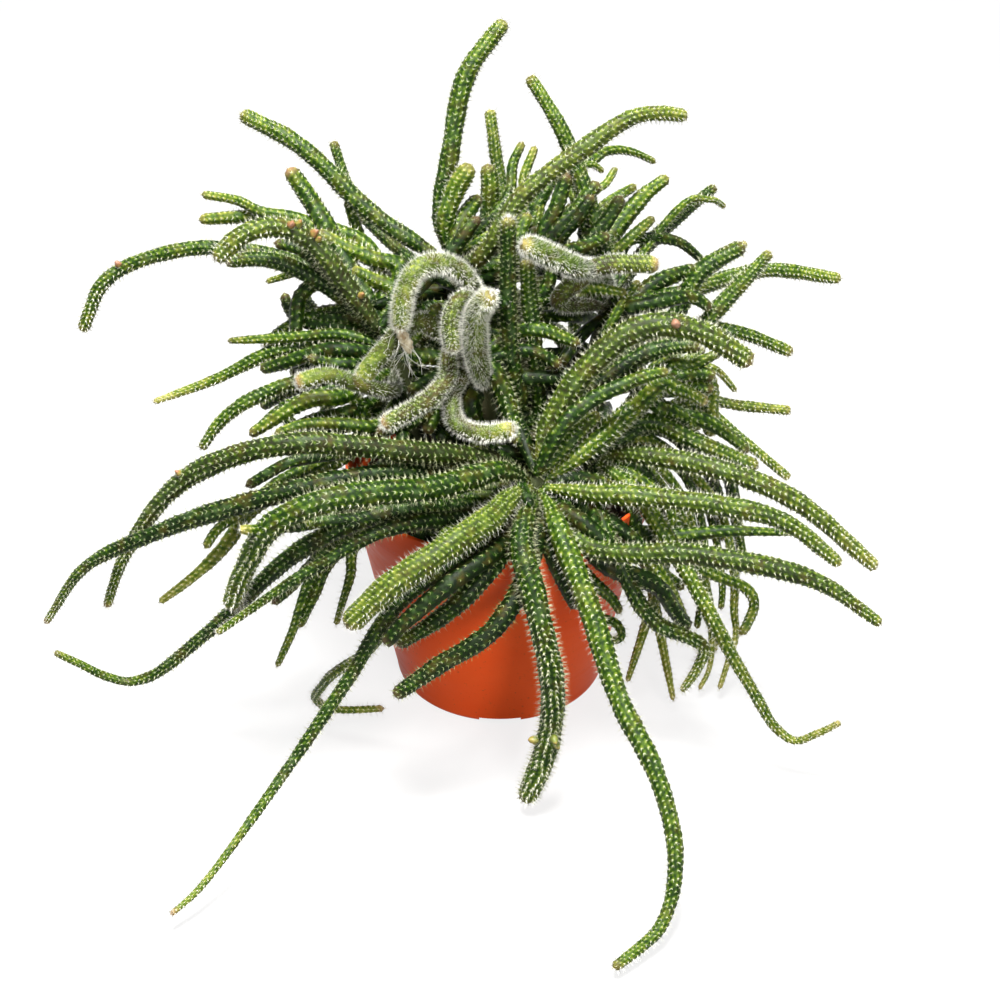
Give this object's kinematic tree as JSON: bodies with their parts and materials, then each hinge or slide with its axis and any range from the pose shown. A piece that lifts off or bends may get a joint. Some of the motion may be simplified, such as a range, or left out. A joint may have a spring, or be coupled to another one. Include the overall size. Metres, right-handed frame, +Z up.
{
  "type": "potted mistletoe cactus",
  "caption": "Trailing cactus with round, ribbed, bristly stems arching out of several crowns in a tapered terracotta-coloured plastic pot.",
  "frame": {"origin": "on the floor under the middle of the whole plant's footprint; the pot's axis is at x 16 mm, y 17 mm", "axes": "+Z up along the pot's axis; the longest stems trail towards -Y, which is the front"},
  "size_m": [0.3173, 0.322, 0.2414],
  "materials": {
    "pot_plastic": "satin moulded plastic, terracotta colour",
    "potting_soil": "loose moist peat",
    "crown_bark": "corky green skin",
    "stem_fresh": "satin ribbed skin with dense pale bristles",
    "stem_green": "satin ribbed skin with pale bristles",
    "stem_deep": "satin ribbed skin with short pale bristles"
  },
  "bodies": {
    "root": {"pot": "pot_plastic", "soil": "potting_soil", "front_crown": "crown_bark", "right_crown": "crown_bark", "left_crown": "crown_bark", "top_crown": "crown_bark", "far_crown": "crown_bark", "young_crown": "crown_bark", "back_crown": "crown_bark", "front_stem_1": "stem_fresh", "front_stem_2": "stem_fresh", "front_stem_3": "stem_green", "front_stem_4": "stem_green", "front_stem_5": "stem_green", "front_stem_6": "stem_green", "front_stem_7": "stem_fresh", "front_stem_8": "stem_fresh", "front_stem_9": "stem_green", "front_stem_10": "stem_deep", "front_stem_11": "stem_deep", "front_stem_12": "stem_deep", "front_stem_13": "stem_green", "front_stem_14": "stem_green", "front_stem_15": "stem_deep", "front_stem_16": "stem_green", "right_stem_1": "stem_green", "right_stem_2": "stem_green", "right_stem_3": "stem_green", "right_stem_4": "stem_deep", "right_stem_5": "stem_green", "right_stem_6": "stem_green", "left_stem_1": "stem_fresh", "left_stem_2": "stem_green", "left_stem_3": "stem_green", "left_stem_4": "stem_green", "left_stem_5": "stem_deep", "left_stem_6": "stem_green", "top_stem_1": "stem_green", "top_stem_2": "stem_deep", "top_stem_3": "stem_green", "top_stem_4": "stem_green", "top_stem_5": "stem_green", "far_stem_1": "stem_green", "far_stem_2": "stem_deep", "far_stem_3": "stem_green", "far_stem_4": "stem_green", "far_stem_5": "stem_green", "far_stem_6": "stem_green", "far_stem_7": "stem_fresh", "young_stem_1": "stem_fresh", "young_stem_2": "stem_fresh", "young_stem_3": "stem_fresh", "young_stem_4": "stem_fresh", "young_stem_5": "stem_fresh", "young_stem_6": "stem_green", "young_stem_7": "stem_green", "back_stem_1": "stem_deep", "back_stem_2": "stem_green", "back_stem_3": "stem_deep", "back_stem_4": "stem_green"}
  },
  "joints": []
}
